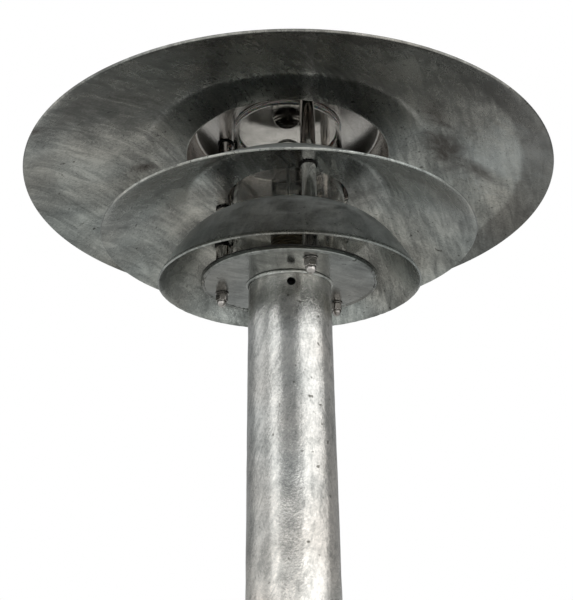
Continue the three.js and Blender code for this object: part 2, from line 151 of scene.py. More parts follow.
def rounded(corners, steps=4):
    """A closed outline of (radius, height, fillet) corners in mm, each corner bent round its
    fillet, with a point held just outside each bend so that flat faces shade flat."""
    outline = []
    for index, (radius, height, fillet) in enumerate(corners):
        corner = Vector((radius, height))
        if fillet == 0:
            outline.append(corner)
            continue
        before = Vector(corners[index - 1][:2]) - corner
        after = Vector(corners[(index + 1) % len(corners)][:2]) - corner
        start = corner + before.normalized() * min(fillet, before.length * 0.45)
        end = corner + after.normalized() * min(fillet, after.length * 0.45)
        outline.append(start + (start - corner) * 0.15)
        for step in range(steps + 1):
            t = step / steps
            outline.append(start * (1 - t) ** 2 + corner * 2 * t * (1 - t) + end * t ** 2)
        outline.append(end + (end - corner) * 0.15)
    return outline


def sizes(node):
    """The radius and height in mm of a node on the post's axis, and its lowest level in metres."""
    low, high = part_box(node)
    return high.x / MM, (high.z - low.z) / MM, low.z


def smooth(mesh, sharp_degrees=40):
    """Smooth shading that keeps edges sharper than the angle."""
    mesh.shade_smooth()
    mesh.set_sharp_from_angle(angle=math.radians(sharp_degrees))


def turned(name, outline, sides, base=0.0, centre=(0.0, 0.0), shape=None):
    """Turns a closed outline of (radius, height) in mm about the vertical axis at centre, with
    heights counted from base in metres. shape may push a point (x, y, z) about."""
    shell = bmesh.new()
    rings = []
    for radius, height in outline:
        if radius < 1e-4:
            rings.append([shell.verts.new((0, 0, height * MM))] * sides)
            continue
        rings.append([
            shell.verts.new((
                radius * MM * math.cos(2 * math.pi * side / sides),
                radius * MM * math.sin(2 * math.pi * side / sides),
                height * MM))
            for side in range(sides)])
    for index, ring in enumerate(rings):
        above = rings[(index + 1) % len(rings)]
        for side in range(sides):
            around = (side + 1) % sides
            corners = list(dict.fromkeys((ring[side], ring[around], above[around], above[side])))
            if len(corners) > 2:
                shell.faces.new(corners)
    bmesh.ops.recalc_face_normals(shell, faces=shell.faces)
    for vertex in shell.verts:
        vertex.co += Vector((centre[0], centre[1], base))
        if shape:
            vertex.co = shape(vertex.co)
    mesh = bpy.data.meshes.new(name)
    shell.to_mesh(mesh)
    shell.free()
    smooth(mesh)
    piece = bpy.data.objects.new(name, mesh)
    bpy.context.scene.collection.objects.link(piece)
    return piece


def new_tree(name, **sizes):
    """A Geometry Nodes tree that takes a mesh, named sizes and a material, and gives a mesh."""
    tree = bpy.data.node_groups.new(name, "GeometryNodeTree")
    tree.interface.new_socket("Geometry", in_out="INPUT", socket_type="NodeSocketGeometry")
    for label, value in sizes.items():
        kind = "NodeSocketInt" if isinstance(value, int) else "NodeSocketFloat"
        socket = tree.interface.new_socket(label.replace("_", " "), in_out="INPUT", socket_type=kind)
        socket.default_value = value
    tree.interface.new_socket("Material", in_out="INPUT", socket_type="NodeSocketMaterial")
    tree.interface.new_socket("Geometry", in_out="OUTPUT", socket_type="NodeSocketGeometry")
    return tree, add(tree, "NodeGroupInput").outputs


def end_tree(tree, given, mesh):
    """Realizes the instances, sets the material and closes the tree."""
    real = add(tree, "GeometryNodeRealizeInstances", {"Geometry": mesh})
    finish = add(tree, "GeometryNodeSetMaterial", {
        "Geometry": real.outputs[0], "Material": given["Material"]})
    add(tree, "NodeGroupOutput", {"Geometry": finish.outputs[0]})
    return tree


def grown(piece, tree, material, **sizes):
    """Runs a tree on a piece with its inputs and keeps the result as the piece's plain mesh."""
    modifier = piece.modifiers.new(tree.name, "NODES")
    modifier.node_group = tree
    wanted = {key.replace("_", " "): value for key, value in sizes.items()} | {"Material": material}
    for socket in tree.interface.items_tree:
        if socket.in_out == "INPUT" and socket.name in wanted:
            modifier[socket.identifier] = wanted[socket.name]
    evaluated = piece.evaluated_get(bpy.context.evaluated_depsgraph_get())
    mesh = bpy.data.meshes.new_from_object(evaluated)
    piece.modifiers.clear()
    piece.data = mesh
    smooth(mesh)
    return piece


def holes_in_a_ring():
    """Drills round holes that are spaced evenly on a circle."""
    tree, given = new_tree("holes_in_a_ring", Count=4, Circle_Radius=0.09, First_Angle=0.0,
                           Hole_Radius=0.007, Level=0.0, Depth=0.03)
    circle = add(tree, "GeometryNodeMeshCircle", {
        "Vertices": given["Count"], "Radius": given["Circle Radius"]})
    turn = add(tree, "ShaderNodeCombineXYZ", {"Z": given["First Angle"]})
    lift = add(tree, "ShaderNodeCombineXYZ", {"Z": given["Level"]})
    put = add(tree, "GeometryNodeTransform", {
        "Geometry": circle.outputs["Mesh"], "Translation": lift.outputs[0], "Rotation": turn.outputs[0]})
    drill = add(tree, "GeometryNodeMeshCylinder", {
        "Vertices": 40, "Radius": given["Hole Radius"], "Depth": given["Depth"]})
    drills = add(tree, "GeometryNodeInstanceOnPoints", {
        "Points": put.outputs[0], "Instance": drill.outputs["Mesh"]})
    real = add(tree, "GeometryNodeRealizeInstances", {"Geometry": drills.outputs[0]})
    cut = add(tree, "GeometryNodeMeshBoolean", {0: given["Geometry"], 1: real.outputs[0]})
    return end_tree(tree, given, cut.outputs["Mesh"])


RING_HOLES = holes_in_a_ring()
ZINC_FOOT = hot_dip_zinc(
    "hot_dip_zinc_on_foot", ("#8a8c8a", "#a3a5a2", "#b7b8b5", "#cbcbc7"), patch_mm=30,
    stroke_mm=(22, 5, 22), stroke_turn=(0, 0, 0.5), gloss=(0.24, 0.38), sparkle=0.08)
ANCHOR_COUNT = 4
ANCHOR_CIRCLE = 90 * MM
ANCHOR_HOLE = 7 * MM
FOOT_BORE = 22

foot_radius, foot_top, foot_base = sizes("foot_plate")
foot_plate = turned("foot_plate_disc", rounded([
    (FOOT_BORE, 0, 0.8), (foot_radius, 0, 0.8),
    (foot_radius, foot_top, 1.2), (FOOT_BORE, foot_top, 0.8)]), 160, base=foot_base)
grown(foot_plate, RING_HOLES, ZINC_FOOT, Count=ANCHOR_COUNT, Circle_Radius=ANCHOR_CIRCLE,
      First_Angle=math.pi / 4, Hole_Radius=ANCHOR_HOLE)
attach(foot_plate, "post")
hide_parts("foot_plate")


# ---- Pole ----------------------------------------------------------------------------------
# 60.3 mm steel tube, galvanised inside and out, bright where the zinc drained off evenly. The
# zinc stands on it in shallow lumps and long runs; a vent hole under the flange let it drain.

ZINC_POLE = hot_dip_zinc(
    "hot_dip_zinc_on_pole", ("#9a9b9a", "#bcbcba", "#d2d1cf", "#e6e4e1"), patch_mm=24,
    stroke_mm=(5, 5, 26), stroke_turn=(0.3, 0.35, 0), gloss=(0.16, 0.28), sparkle=0.22)
POLE_WALL = 2.9
VENT_ANGLE = math.radians(-88)
VENT_DROP = 8 * MM
VENT_RADIUS = 3 * MM
LUMP_HEIGHT = 0.16 * MM
RUN_HEIGHT = 0.14 * MM
LUMPY_TOP = 50 * MM
LUMPS_PER_METRE = (75, 190)
RUNS_PER_METRE = (240, 240, 14)
POLE_STEPS = 330

pole_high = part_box("pole_tube")[1]
pole_radius, pole_height, pole_base = sizes("pole_tube")
flange_low, flange_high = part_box("top_flange")


def zinc_lumps(point):
    """Pushes the pole's outer skin in and out by shallow lumps and long runs of zinc. The lumps
    are three times as high at the top, where the zinc froze against the flange."""
    out = Vector((point.x, point.y, 0))
    if out.length < pole_high.x - 0.5 * MM:
        return point
    lump = noise.noise(point * LUMPS_PER_METRE[0]) + 0.5 * noise.noise(point * LUMPS_PER_METRE[1])
    run = noise.noise(point * Vector(RUNS_PER_METRE))
    near_top = max(0.0, 1 - (pole_high.z - point.z) / LUMPY_TOP)
    push = LUMP_HEIGHT * lump * (1 + 2 * near_top ** 2) + RUN_HEIGHT * max(0.0, run)
    return point + out.normalized() * (push - LUMP_HEIGHT)


pole_outline = [(pole_radius, pole_height * step / POLE_STEPS) for step in range(POLE_STEPS + 1)]
pole_outline += [(pole_radius - POLE_WALL, pole_height), (pole_radius - POLE_WALL, 0)]
pole = turned("pole_skin", pole_outline, 160, base=pole_base, shape=zinc_lumps)



def cut_out(piece, tool):
    """Cuts a tool's shape out of a piece and removes the tool."""
    boolean = piece.modifiers.new("cut", "BOOLEAN")
    boolean.operation = "DIFFERENCE"
    boolean.solver = "EXACT"
    boolean.object = tool
    evaluated = piece.evaluated_get(bpy.context.evaluated_depsgraph_get())
    piece.data = bpy.data.meshes.new_from_object(evaluated)
    piece.modifiers.clear()
    bpy.data.objects.remove(tool)
    smooth(piece.data)


vent_tool = turned("vent_drill", [(0, -6), (VENT_RADIUS / MM, -6), (VENT_RADIUS / MM, 6), (0, 6)], 32)
vent_tool.data.transform(
    Matrix.Translation((pole_high.x * math.cos(VENT_ANGLE), pole_high.x * math.sin(VENT_ANGLE),
                        flange_low.z - VENT_DROP))
    @ Matrix.Rotation(VENT_ANGLE, 4, "Z") @ Matrix.Rotation(math.pi / 2, 4, "Y"))
cut_out(pole, vent_tool)
pole.data.materials.append(ZINC_POLE)
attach(pole, "post")
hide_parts("pole_tube")


# ---- Welds ---------------------------------------------------------------------------------
# Fillet beads that join the pole to its foot and to its flange, laid by hand in small
# overlapping steps and covered with zinc by the same dip.

ZINC_WELD = hot_dip_zinc(
    "hot_dip_zinc_on_weld", ("#7b7e7b", "#969996", "#acaeab", "#c4c6c3"), patch_mm=12,
    stroke_mm=(4, 4, 4), stroke_turn=(0, 0, 0), gloss=(0.24, 0.38), sparkle=0.08)
BEAD_STEPS = 80
BEAD_FILL = 0.55
BEAD_RIPPLE = 0.04
BEAD_SWELL = 0.55
BEAD_SWELLS_PER_METRE = 90


def weld_bead(name, node, up):
    """A fillet bead in a node's box; up is 1 where it stands on a plate, -1 where it hangs."""
    low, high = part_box(node)
    leg = (high.z - low.z) / MM
    root = low.z if up > 0 else high.z
    inner = pole_radius + 0.05
    reach = high.x / MM - pole_radius
    arc = [(inner + reach * (1 - math.sin(a)) * BEAD_FILL, up * leg * (1 - math.cos(a)) * BEAD_FILL)
           for a in [math.pi / 2 * step / 8 for step in range(9)]]
    outline = [(inner, 0)] + arc

    def ripple(point):
        angle = math.atan2(point.y, point.x)
        wave = abs(math.sin(angle * BEAD_STEPS / 2 + 0.6 * math.sin(3 * angle)))
        out = Vector((point.x, point.y, 0))
        depth = (out.length / MM - inner) / reach
        swell = noise.noise(point * BEAD_SWELLS_PER_METRE) * BEAD_SWELL
        inset = BEAD_RIPPLE * wave * 2 + max(swell, -0.15)
        return point - out.normalized() * reach * MM * depth * inset

    bead = turned(name, outline, BEAD_STEPS * 6, base=root, shape=ripple)
    bead.data.materials.append(ZINC_WELD)
    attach(bead, "post")
    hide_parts(node)


weld_bead("foot_weld_bead", "foot_weld", 1)
weld_bead("flange_weld_bead", "flange_weld", -1)


# ---- Top flange and its gasket ----------------------------------------------------------------
# 3 mm steel disc welded on the pole. The zinc drained off its rim and froze there in a thick
# edge with rough drips. A black rubber gasket on it seals the foot of the glass.

# The flange's zinc gets much darker tones than the pole's: painted shade on its underside under the head.
ZINC_PLATE_PAINTED_DARK = hot_dip_zinc(
    "hot_dip_zinc_on_plate_painted_dark", ("#5d5f5d", "#727472", "#838583", "#999a98"), patch_mm=30,
    stroke_mm=(22, 5, 22), stroke_turn=(0, 0, 0.5), gloss=(0.12, 0.24), sparkle=0.03)
ROD_COUNT = 3
ROD_CIRCLE = 52.2 * MM
FIRST_ROD = math.radians(-74.5)
ROD_HOLE = 2.9 * MM
FLANGE_BORE = 10
GASKET_BORE = 38
DRIP_PLACES = (math.radians(196), math.radians(-14), math.radians(120))
DRIP_SPREAD = math.radians(16)
RIM_WIDTH = 5 * MM
EDGE_INSET = 1.5 * MM
EDGE_WIDTH = 1.0 * MM
EDGE_DEPTH = 0.91 * MM
DRIP_DEPTH = 2.24 * MM
DRIPS_PER_METRE = 330
RIM_BAND_DROP = 0.6 * MM


def rim_drips(point):
    """Rough beads of frozen zinc under the flange's rim, thick where it drained off."""
    radius = math.hypot(point.x, point.y)
    if radius < flange_high.x - RIM_WIDTH or point.z > flange_low.z + 1.2 * MM:
        return point
    angle = math.atan2(point.y, point.x)
    near = max(math.exp(-((angle - place + math.pi) % (2 * math.pi) - math.pi) ** 2 / DRIP_SPREAD ** 2)
               for place in DRIP_PLACES)
    edge = math.exp(-((radius - flange_high.x + EDGE_INSET) / EDGE_WIDTH) ** 4)
    lump = max(0.0, noise.noise(point * DRIPS_PER_METRE) + 0.25)
    return point - Vector((0, 0, (EDGE_DEPTH + DRIP_DEPTH * near * lump) * edge))


def speckled(name, tones, span, cloud, roughness, grain=None, **more):
    """A matte or waxy solid with one fine cloud, cloud being its scale and detail. The tones
    cover its span; grain is the depth in mm and the strength of the same cloud in the skin."""
    made, tree, shader = new_material(name)
    haze = add(tree, "ShaderNodeTexNoise", {
        "Vector": add(tree, "ShaderNodeTexCoord").outputs["Object"], "Scale": cloud[0],
        "Detail": cloud[1]}).outputs["Fac"]
    colour = add(tree, "ShaderNodeValToRGB", {"Fac": haze}, stops=[*zip(span, tones)])
    join(tree, shader, {"Base Color": colour.outputs["Color"], "Roughness": roughness, **more})
    if grain:
        skin = add(tree, "ShaderNodeBump", {"Height": haze, "Distance": grain[0] * MM, "Strength": grain[1]})
        join(tree, shader, {"Normal": skin.outputs[0]})
    return made


# Moulded EPDM: nearly black, matte, with a faint dusty bloom.
RUBBER = speckled("black_epdm_rubber", ("#0d0c0b", "#231f1d"), span=(0.35, 0.7), cloud=(180.0, 4.0),
                  roughness=0.62, grain=(0.05, 0.5))

flange_radius, flange_thick, flange_base = sizes("top_flange")
rim_rings = [(flange_radius - 6 + 0.4 * step, 0) for step in range(13)]
flange_outline = [(FLANGE_BORE, 0)] + rim_rings + [
    (flange_radius - 0.4, 0.12), (flange_radius, 0.5), (flange_radius, flange_thick),
    (FLANGE_BORE, flange_thick)]
flange = turned("top_flange_disc", flange_outline, 420, base=flange_base, shape=rim_drips)
grown(flange, RING_HOLES, ZINC_PLATE_PAINTED_DARK, Count=ROD_COUNT, Circle_Radius=ROD_CIRCLE,
      First_Angle=FIRST_ROD, Hole_Radius=ROD_HOLE, Level=flange_low.z)
# The thick edge and drips under the rim take the paler weld zinc: frozen zinc, and partly a painted highlight
# along the rim.
flange.data.materials.append(ZINC_WELD)
for face in flange.data.polygons:
    if face.center.z < flange_low.z - RIM_BAND_DROP:
        face.material_index = 1
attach(flange, "post")
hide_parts("top_flange")

gasket_radius, gasket_thick, gasket_base = sizes("flange_gasket")
gasket = turned("flange_gasket_ring", rounded([
    (GASKET_BORE, 0, 0.2), (gasket_radius, 0, 0.25),
    (gasket_radius, gasket_thick, 0.25), (GASKET_BORE, gasket_thick, 0.2)]), 160, base=gasket_base)
grown(gasket, RING_HOLES, RUBBER, Count=ROD_COUNT, Circle_Radius=ROD_CIRCLE,
      First_Angle=FIRST_ROD, Hole_Radius=ROD_HOLE, Level=gasket_base)
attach(gasket, "post")
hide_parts("flange_gasket")


# ---- Rods, spacer tubes and pads ---------------------------------------------------------------
# Three M5 stainless threaded rods. Polished stainless tubes over them set the heights of the
# shades, and a black rubber pad under each shade keeps the two metals apart.

def copies_in_a_ring():
    """Repeats a piece round the pole's axis, once at each rod."""
    tree, given = new_tree("copies_in_a_ring", Count=3, Circle_Radius=0.05, First_Angle=0.0)
    circle = add(tree, "GeometryNodeMeshCircle", {
        "Vertices": given["Count"], "Radius": given["Circle Radius"]})
    one = add(tree, "GeometryNodeGeometryToInstance", {"Geometry": given["Geometry"]})
    copies = add(tree, "GeometryNodeInstanceOnPoints", {
        "Points": circle.outputs["Mesh"], "Instance": one.outputs[0]})
    turn = add(tree, "ShaderNodeCombineXYZ", {"Z": given["First Angle"]})
    put = add(tree, "GeometryNodeTransform", {"Geometry": copies.outputs[0], "Rotation": turn.outputs[0]})
    return end_tree(tree, given, put.outputs[0])


def screw_thread():
    """Winds a triangular thread round a rod that is given as a plain core."""
    tree, given = new_tree("screw_thread", Turns=10.0, Pitch=0.0008, Radius=0.0025, Start=0.0)
    length = add(tree, "ShaderNodeMath", {0: given["Turns"], 1: given["Pitch"]}, operation="MULTIPLY")
    helix = add(tree, "GeometryNodeCurveSpiral", {
        "Resolution": 24, "Rotations": given["Turns"], "Start Radius": given["Radius"],
        "End Radius": given["Radius"], "Height": length.outputs[0]})
    lift = add(tree, "ShaderNodeCombineXYZ", {"Z": given["Start"]})
    put = add(tree, "GeometryNodeTransform", {"Geometry": helix.outputs[0], "Translation": lift.outputs[0]})
    flank = add(tree, "ShaderNodeMath", {0: given["Pitch"], 1: 0.42}, operation="MULTIPLY")
    crest = add(tree, "GeometryNodeCurvePrimitiveCircle", {"Resolution": 4, "Radius": flank.outputs[0]})
    ridge = add(tree, "GeometryNodeCurveToMesh", {
        "Curve": put.outputs[0], "Profile Curve": crest.outputs[0], "Fill Caps": True})
    both = add(tree, "GeometryNodeJoinGeometry", {"Geometry": given["Geometry"]})
    tree.links.new(ridge.outputs[0], both.inputs[0])
    return end_tree(tree, given, both.outputs[0])


def bright_metal(name, tones, gloss, grain_mm, grain_depth):
    """Polished or turned metal: fully metallic, with fine lines from the polishing wheel."""
    made, tree, shader = new_material(name)
    place = add(tree, "ShaderNodeTexCoord").outputs["Object"]
    along = add(tree, "ShaderNodeMapping", {"Vector": place, "Scale": [1000 / size for size in grain_mm]})
    lines = add(tree, "ShaderNodeTexNoise", {"Vector": along.outputs[0], "Scale": 1.0, "Detail": 3.0})
    stains = add(tree, "ShaderNodeTexNoise", {"Vector": place, "Scale": 90.0, "Detail": 4.0})
    colour = add(tree, "ShaderNodeValToRGB", {"Fac": stains.outputs["Fac"]}, stops=[
        *zip((0.35, 0.65), tones)])
    dull = add(tree, "ShaderNodeMapRange", {
        "Value": stains.outputs["Fac"], "From Min": 0.3, "From Max": 0.7,
        "To Min": gloss[0], "To Max": gloss[1]})
    skin = add(tree, "ShaderNodeBump", {
        "Height": lines.outputs["Fac"], "Distance": grain_depth * MM, "Strength": 0.5})
    join(tree, shader, {"Base Color": colour.outputs["Color"], "Metallic": 1.0,
                        "Roughness": dull.outputs[0], "Normal": skin.outputs[0]})
    return made


RING_COPIES = copies_in_a_ring()
THREAD = screw_thread()
POLISHED_STEEL = bright_metal(
    "polished_stainless_steel", ("#7b7773", "#aca8a4"), gloss=(0.03, 0.08),
    grain_mm=(0.4, 0.4, 9), grain_depth=0.008)
POLISHED_TUBE = bright_metal(
    "polished_stainless_tube", ("#aba7a3", "#cfcbc8"), gloss=(0.05, 0.09),
    grain_mm=(4, 4, 0.3), grain_depth=0.004)
ROD_PITCH = 0.8
ROD_CORE = 2.12
TUBE_BORE = 3.2


def on_the_rods(piece, material):
    """Repeats a piece that stands at the middle of the post onto the three rods."""
    grown(piece, RING_COPIES, material, Count=ROD_COUNT, Circle_Radius=ROD_CIRCLE, First_Angle=FIRST_ROD)


def three_of(node):
    """The three nodes, one at each rod, that share a name."""
    return [f"{node}_{rod + 1}" for rod in range(ROD_COUNT)]


def ring_at_rods(name, node, bore, fillet, material, body="post"):
    """Rings as wide and high as a node, one round each rod."""
    low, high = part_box(f"{node}_1")
    radius = (high.y - low.y) / 2 / MM
    height = (high.z - low.z) / MM
    made = turned(name, rounded([
        (bore, 0, fillet), (radius, 0, fillet),
        (radius, height, fillet), (bore, height, fillet)]), 64, base=low.z)
    on_the_rods(made, material)
    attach(made, body)
    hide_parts(*three_of(node))
    return made


rod_low, rod_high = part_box("threaded_rod_1")
rod_length = (rod_high.z - rod_low.z) / MM
rods = turned("threaded_rods", rounded([
    (0, 0, 0), (ROD_CORE, 0, 0.4), (ROD_CORE, rod_length, 0.4), (0, rod_length, 0)]), 24, base=rod_low.z)
grown(rods, THREAD, POLISHED_STEEL, Turns=rod_length / ROD_PITCH - 3, Pitch=ROD_PITCH * MM,
      Radius=ROD_CORE * MM, Start=rod_low.z + 1.5 * ROD_PITCH * MM)
on_the_rods(rods, POLISHED_STEEL)
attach(rods, "post")
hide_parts(*three_of("threaded_rod"))

for level in ("lower", "middle", "upper"):
    ring_at_rods(
        f"{level}_spacer_tubes", f"{level}_spacer_tube", TUBE_BORE, 0.3, POLISHED_TUBE)
for level in ("lower_shade", "middle_shade", "crown"):
    ring_at_rods(f"{level}_pads", f"{level}_pad", TUBE_BORE, 0.25, RUBBER)


# ---- Washers and cap nuts -------------------------------------------------------------------
# Stamped 10 mm washers and polished M5 cap nuts, with a chamfered hexagon and a round dome.
# Three hold the rods under the flange; three on the crown are undone to lift the upper shade.

NUT_FLATS = 8.0
NUT_HEX = 5.0
NUT_DOME = 3.75
NUT_BORE = 2.8
NUT_BORE_DEPTH = 7.0


def cap_nut(name, node, centre, up):
    """A cap nut in its node's box, with its open thread towards the washer."""
    low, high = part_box(node)
    height = (high.z - low.z) / MM
    corner = NUT_FLATS / 2 / math.cos(math.pi / 6)
    dome = [(NUT_DOME * math.cos(a), NUT_HEX + (height - NUT_HEX) * math.sin(a))
            for a in [math.pi / 2 * step / 10 for step in range(11)]]
    outline = [
        (NUT_BORE, NUT_BORE_DEPTH), (NUT_BORE, 0.3), (NUT_BORE + 0.3, 0), (corner - 0.65, 0),
        (corner - 0.3, 0.08), (corner, 0.45), (corner, NUT_HEX - 0.5), (corner - 0.3, NUT_HEX - 0.12),
        (corner - 0.65, NUT_HEX), (NUT_DOME + 0.12, NUT_HEX), (NUT_DOME, NUT_HEX + 0.1)]
    outline += dome[1:-1] + [(0, height), (0, NUT_BORE_DEPTH)]

    def hexagon(point):
        radius = math.hypot(point.x, point.y)
        if point.z > (NUT_HEX + 0.05) * MM or radius < (NUT_BORE + 0.5) * MM:
            return point
        sixth = math.pi / 3
        angle = math.atan2(point.y, point.x)
        flat = NUT_FLATS / 2 * MM / math.cos((angle + sixth / 2) % sixth - sixth / 2)
        squeeze = min(1.0, flat / max(radius, 1e-9))
        return Vector((point.x * squeeze, point.y * squeeze, point.z))

    nut = turned(name, outline, 96, shape=hexagon)
    spin = Matrix.Rotation(0 if up > 0 else math.pi, 4, "X")
    nut.data.transform(Matrix.Translation((*centre, low.z if up > 0 else high.z)) @ spin)
    smooth(nut.data, 24)
    return nut


for level, body in (("flange", "post"), ("crown", "upper_shade")):
    ring_at_rods(
        f"{level}_washers", f"{level}_washer", ROD_HOLE / MM, 0.15, POLISHED_STEEL, body)

flange_nuts = cap_nut("flange_cap_nuts", "flange_cap_nut_1", (0, 0), -1)
on_the_rods(flange_nuts, POLISHED_STEEL)
smooth(flange_nuts.data, 24)
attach(flange_nuts, "post")
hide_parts(*three_of("flange_cap_nut"))

for number in range(1, ROD_COUNT + 1):
    rod_angle = FIRST_ROD + 2 * math.pi * (number - 1) / ROD_COUNT
    place = (ROD_CIRCLE * math.cos(rod_angle), ROD_CIRCLE * math.sin(rod_angle))
    nut = cap_nut(f"crown_nut_{number}_dome", f"crown_cap_nut_{number}", place, 1)
    nut.data.materials.append(POLISHED_STEEL)
    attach(nut, f"crown_nut_{number}")
    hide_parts(f"crown_cap_nut_{number}")


# ---- Shades -------------------------------------------------------------------------------------
# Three rings spun from 1.5 mm sheet and galvanised, duller than the pole. The lower
# is a bowl, the middle a cone with a flat ring, the upper has a closed crown pressed up in it.

ZINC_SHEET = hot_dip_zinc(
    "hot_dip_zinc_on_sheet", ("#676967", "#868886", "#9c9e9b", "#bbbcb8"), patch_mm=70,
    stroke_mm=(44, 6.5, 20), stroke_turn=(0, 0, 1.2), gloss=(0.2, 0.34), sparkle=0.035)
# Spinning leaves fine grooves round the axis, which draw a light out into a radial streak.
sheet_tree = ZINC_SHEET.node_tree
sheet_shader = sheet_tree.nodes["Principled BSDF"]
groove_way = add(sheet_tree, "ShaderNodeTangent", direction_type="RADIAL", axis="Z")
join(sheet_tree, sheet_shader, {
    "Anisotropic": 0.5, "Anisotropic Rotation": 0.25, "Tangent": groove_way.outputs[0]})

CROWN_BOTTOM = 102.5
CROWN_MIDDLE = 116
CROWN_LIGHT_RADIUS = 79
BAND_RADIUS = 171
BROWN, PALE = "#3f3832", "#b4b9b8"
STAINS = [  # centre and half sizes in mm from the flange, turn in radians, depth and colour
    ((150, -48, 76), (26, 62, 40), 0.3, 0.5, PALE), ((86, -50, 50), (15, 30, 40), -0.4, 0.4, PALE),
    ((98, -78, 94), (9, 22, 40), -0.3, 0.75, BROWN), ((117, -30, 95), (13, 26, 40), -0.3, 0.85, BROWN),
    ((142, -16, 84), (22, 9, 40), 0.25, 0.75, BROWN), ((112, -128, 72), (30, 16, 40), 0.6, 0.4, BROWN),
    ((-111, -2, 98), (11, 6, 40), 0.4, 0.85, BROWN), ((-154, -108, 62), (6, 5, 30), 0.4, 0.8, BROWN)]
sheet_space = add(sheet_tree, "ShaderNodeTexCoord")
sheet_place = sheet_space.outputs["Object"]
sheet_across = add(sheet_tree, "ShaderNodeVectorMath", {
    0: sheet_place, 1: (1, 1, 0)}, operation="MULTIPLY").outputs[0]
sheet_radius = add(sheet_tree, "ShaderNodeVectorMath", {
    0: sheet_across}, operation="LENGTH").outputs["Value"]
sheet_side = add(sheet_tree, "ShaderNodeSeparateXYZ", {0: sheet_place})
sheet_height = sheet_side.outputs["Z"]
sheet_wear = add(sheet_tree, "ShaderNodeTexNoise", {
    "Vector": sheet_place, "Scale": 55.0, "Detail": 8.0, "Roughness": 0.65,
    "Distortion": 0.8}).outputs["Fac"]

# The spinning roller's rings stay in the sheet as faint steps.
ring_place = add(sheet_tree, "ShaderNodeCombineXYZ", {"X": sheet_radius, "Y": sheet_height})
rings = add(sheet_tree, "ShaderNodeTexNoise", {
    "Vector": ring_place.outputs[0], "Scale": 420.0, "Detail": 4.0, "Roughness": 0.7})
ring_skin = add(sheet_tree, "ShaderNodeBump", {
    "Height": rings.outputs["Fac"], "Distance": 0.06 * MM, "Strength": 0.6,
    "Normal": sheet_shader.inputs["Normal"].links[0].from_socket})
join(sheet_tree, sheet_shader, {"Normal": ring_skin.outputs[0]})


def sheet_tint(share, code):
    """Puts one more layer of colour over the sheet's, where share says."""
    below = sheet_shader.inputs["Base Color"].links[0].from_socket
    layer = add(sheet_tree, "ShaderNodeMixRGB", {0: share, 1: below, 2: linear(code)})
    join(sheet_tree, sheet_shader, {"Base Color": layer.outputs[0]})


for centre, half, turn, depth, code in STAINS:
    # Flux and rust leave ragged brown stains; where the bath was wiped, it is paler.
    spot = add(sheet_tree, "ShaderNodeMapping", {
        "Vector": sheet_place, "Rotation": (0, 0, turn), "Scale": [size * MM for size in half],
        "Location": Vector((0, 0, flange_low.z)) + Vector(centre) * MM}, vector_type="TEXTURE")
    reach = add(sheet_tree, "ShaderNodeVectorMath", {
        0: spot.outputs[0]}, operation="LENGTH").outputs["Value"]
    ragged = add(sheet_tree, "ShaderNodeMath", {
        0: sheet_wear, 1: 3.2, 2: reach}, operation="MULTIPLY_ADD")
    stained = add(sheet_tree, "ShaderNodeMapRange", {
        "Value": ragged.outputs[0], "From Min": 1.8, "From Max": 2.9, "To Min": depth, "To Max": 0.0})
    sheet_tint(stained.outputs[0], code)

# The zinc ran thicker and darker along the upper shade's turned-down lip, most on one side.
band_edge = add(sheet_tree, "ShaderNodeMath", {
    0: sheet_wear, 1: 4 * MM, 2: sheet_radius}, operation="MULTIPLY_ADD")
on_band = add(sheet_tree, "ShaderNodeMapRange", {
    "Value": band_edge.outputs[0], "From Min": BAND_RADIUS * MM, "From Max": (BAND_RADIUS + 3) * MM})
one_side = add(sheet_tree, "ShaderNodeMapRange", {
    "Value": sheet_side.outputs["X"], "From Min": -0.12, "From Max": 0.1, "To Min": 0.12, "To Max": 0.5})
lip = add(sheet_tree, "ShaderNodeMath", {
    0: on_band.outputs[0], 1: one_side.outputs[0]}, operation="MULTIPLY")
sheet_tint(lip.outputs[0], "#4b4744")

# Inside the crown the zinc is tinted lighter and pinker, a painted reflection of the bright room, and made
# glossier.
in_radius = add(sheet_tree, "ShaderNodeMapRange", {
    "Value": sheet_radius, "From Min": (CROWN_LIGHT_RADIUS - 1) * MM, "From Max": CROWN_LIGHT_RADIUS * MM,
    "To Min": 1.0, "To Max": 0.0})
in_height = add(sheet_tree, "ShaderNodeMapRange", {
    "Value": sheet_height, "From Min": flange_low.z + CROWN_BOTTOM * MM,
    "From Max": flange_low.z + (CROWN_BOTTOM + 1) * MM, "To Max": 0.5})
in_zone = add(sheet_tree, "ShaderNodeMath", {
    0: in_radius.outputs[0], 1: in_height.outputs[0]}, operation="MULTIPLY")
from_middle = add(sheet_tree, "ShaderNodeVectorMath", {
    0: sheet_place, 1: (0, 0, flange_low.z + CROWN_MIDDLE * MM)}, operation="SUBTRACT")
turned_out = add(sheet_tree, "ShaderNodeVectorMath", {
    0: from_middle.outputs[0], 1: sheet_space.outputs["Normal"]}, operation="DOT_PRODUCT")
inner_face = add(sheet_tree, "ShaderNodeMath", {
    0: turned_out.outputs["Value"], 1: 0.0}, operation="LESS_THAN")
crown_light_and_gloss = add(sheet_tree, "ShaderNodeMath", {
    0: in_zone.outputs[0], 1: inner_face.outputs[0]}, operation="MULTIPLY").outputs[0]
# Painted reflection: a lighter, pinker tint on the crown's inner faces.
sheet_tint(crown_light_and_gloss, "#b9b1ad")
crown_gloss = add(sheet_tree, "ShaderNodeMix", {
    0: crown_light_and_gloss, 2: sheet_shader.inputs["Roughness"].links[0].from_socket, 3: 0.08})

